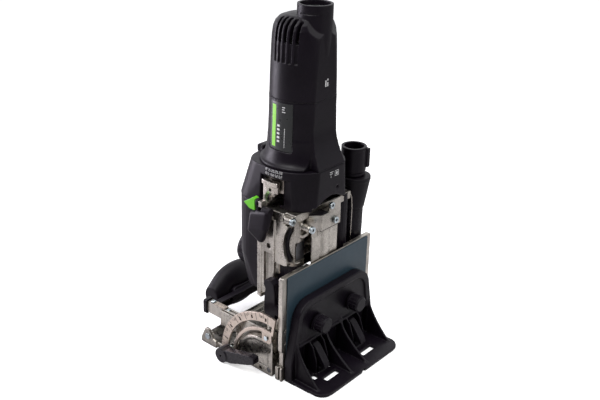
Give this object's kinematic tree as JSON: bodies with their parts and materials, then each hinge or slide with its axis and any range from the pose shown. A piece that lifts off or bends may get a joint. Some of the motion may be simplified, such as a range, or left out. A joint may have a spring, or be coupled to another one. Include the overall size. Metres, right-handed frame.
{
  "type": "biscuit joiner",
  "caption": "Hand-held plunging joint cutter with a tilting fence, side depth selector, dust outlet and a clip-on support bracket, standing on its front face.",
  "frame": {"origin": "on the front contact face, on the base plate's outer face, on the plane of symmetry", "axes": "+Z from the front contact face back along the motor axis, -Y the outward normal of the base plate, +X towards the dust outlet"},
  "size_m": [0.155, 0.1878, 0.34],
  "materials": {
    "cast_metal": "die cast, lightly stained",
    "plate_metal": "machined and anodised",
    "scale_nickel": "nickel plated, satin",
    "bright_steel": "ground",
    "dark_steel": "hardened, dark",
    "screw_zinc": "zinc plated",
    "spring_steel": "drawn wire",
    "black_plastic": "soft sheen, fine texture",
    "black_smooth": "semi gloss",
    "black_rubber": "soft touch",
    "pad_blue": "smooth laminate",
    "lever_green": "semi gloss",
    "label_grey": "printed film",
    "bronze": "sintered",
    "copper": "turned",
    "winding": "varnished",
    "lamination": "stacked sheet",
    "circuit_green": "solder mask"
  },
  "bodies": {
    "guide_frame": {"base_plate": "plate_metal", "base_pad": "pad_blue", "front_bar": "plate_metal", "frame_casting": "cast_metal", "guide_rod_left": "bright_steel", "guide_rod_right": "bright_steel", "plunge_spring_left": "spring_steel", "plunge_spring_right": "spring_steel", "fence_column_left": "plate_metal", "fence_column_right": "plate_metal", "column_caps": "black_smooth", "height_scale": "scale_nickel", "handle_bracket": "black_plastic", "handle_grip": "black_rubber", "dust_duct": "black_smooth", "dust_sleeve": "black_rubber", "dust_spigot": "black_plastic", "support_bracket": "black_plastic", "frame_screws": "screw_zinc"},
    "release_lever": {"release_lever": "black_plastic"},
    "knob_left": {"knob_left": "black_plastic"},
    "knob_right": {"knob_right": "black_plastic"},
    "stop_latch_left": {"stop_latch_left": "bright_steel"},
    "stop_latch_right": {"stop_latch_right": "bright_steel"},
    "carriage": {"fence_carriage": "cast_metal", "angle_clamp_stud": "screw_zinc", "hinge_pins": "dark_steel"},
    "height_clamp_lever": {"height_clamp_lever": "black_smooth"},
    "thickness_slide": {"thickness_slide": "black_plastic"},
    "fence": {"fence_plate": "cast_metal", "tilt_scale": "scale_nickel", "fence_screws": "screw_zinc"},
    "angle_clamp_lever": {"angle_clamp_lever": "black_smooth"},
    "motor_unit": {"gear_housing": "cast_metal", "gear_cover": "cast_metal", "guide_bushes": "bronze", "top_cover": "black_plastic", "shroud": "black_plastic", "motor_housing": "black_plastic", "rear_cap": "black_plastic", "cable_socket": "black_smooth", "label_plate": "label_grey", "housing_screws": "screw_zinc", "stator": "lamination", "armature_bearings": "bright_steel", "brush_gear": "copper", "switch_module": "circuit_green"},
    "depth_selector": {"depth_stop_bar": "bright_steel", "depth_lever": "black_plastic"},
    "lock_lever": {"lock_lever": "lever_green"},
    "switch_slider": {"switch_slider": "black_smooth"},
    "spindle_lock": {"spindle_lock": "black_smooth"},
    "width_dial": {"width_dial": "black_plastic"},
    "armature": {"armature": "winding", "commutator": "copper", "cooling_fan": "black_smooth", "drive_gear": "dark_steel"},
    "rocker": {"rocker_arm": "cast_metal"},
    "spindle": {"spindle": "bright_steel", "cutter": "bright_steel"}
  },
  "joints": [
    {"name": "plunge", "type": "slide", "parent": "guide_frame", "child": "motor_unit", "axis": [0, 0, -1], "range_m": [0, 0.028], "stiffness_N_per_m": 1200, "springref_m": -0.03, "deforming": ["plunge_spring_left", "plunge_spring_right"]},
    {"name": "fence_height", "type": "slide", "parent": "guide_frame", "child": "carriage", "axis": [0, 1, 0], "range_m": [0, 0.02]},
    {"name": "fence_tilt", "type": "hinge", "parent": "carriage", "child": "fence", "pos_m": [0, 0.015, 0.006], "axis": [-1, 0, 0], "range_deg": [0, 90]},
    {"name": "angle_clamp", "type": "hinge", "parent": "carriage", "child": "angle_clamp_lever", "pos_m": [-0.076, 0.0635, 0.0077], "axis": [-1, 0, 0], "range_deg": [0, 60]},
    {"name": "height_clamp", "type": "hinge", "parent": "carriage", "child": "height_clamp_lever", "pos_m": [0.069, 0.05, 0.036], "axis": [1, 0, 0], "range_deg": [0, 60]},
    {"name": "thickness_step", "type": "slide", "parent": "carriage", "child": "thickness_slide", "axis": [1, 0, 0], "range_m": [0, 0.022]},
    {"name": "frame_release", "type": "hinge", "parent": "guide_frame", "child": "release_lever", "pos_m": [-0.0464, 0.022, 0.054], "axis": [-1, 0, 0], "range_deg": [0, 20]},
    {"name": "knob_left_turn", "type": "hinge", "parent": "guide_frame", "child": "knob_left", "pos_m": [-0.026, -0.0102, 0.0518], "axis": [0, -1, 0], "continuous": true},
    {"name": "knob_right_turn", "type": "hinge", "parent": "guide_frame", "child": "knob_right", "pos_m": [0.026, -0.0102, 0.0518], "axis": [0, -1, 0], "continuous": true},
    {"name": "latch_left_press", "type": "slide", "parent": "guide_frame", "child": "stop_latch_left", "axis": [0, 0, -1], "range_m": [0, 0.004]},
    {"name": "latch_right_press", "type": "slide", "parent": "guide_frame", "child": "stop_latch_right", "axis": [0, 0, -1], "range_m": [0, 0.004]},
    {"name": "depth_select", "type": "hinge", "parent": "motor_unit", "child": "depth_selector", "pos_m": [0, 0.037, 0.17], "axis": [0, 0, 1], "range_deg": [0, 10]},
    {"name": "depth_lock", "type": "hinge", "parent": "depth_selector", "child": "lock_lever", "pos_m": [-0.05, 0.043, 0.166], "axis": [0, 1, 0], "range_deg": [0, 25]},
    {"name": "switch_slide", "type": "slide", "parent": "motor_unit", "child": "switch_slider", "axis": [0, 0, -1], "range_m": [0, 0.006]},
    {"name": "spindle_lock_press", "type": "slide", "parent": "motor_unit", "child": "spindle_lock", "axis": [-1, 0, 0], "range_m": [0, 0.003]},
    {"name": "width_select", "type": "hinge", "parent": "motor_unit", "child": "width_dial", "pos_m": [0, 0.09, 0.083], "axis": [0, 1, 0], "range_deg": [0, 90]},
    {"name": "motor_spin", "type": "hinge", "parent": "motor_unit", "child": "armature", "pos_m": [0, 0.037, 0.2], "axis": [0, 0, 1], "continuous": true},
    {"name": "rocker_swing", "type": "hinge", "parent": "motor_unit", "child": "rocker", "pos_m": [0, 0.037, 0.124], "axis": [0, 0, 1], "range_deg": [-20, 20]},
    {"name": "spindle_spin", "type": "hinge", "parent": "rocker", "child": "spindle", "pos_m": [0, 0.0095, 0.1], "axis": [0, 0, 1], "continuous": true}
  ],
  "couplings": [
    {"joint": "spindle_spin", "follows": "motor_spin", "ratio": -1.8947}
  ]
}
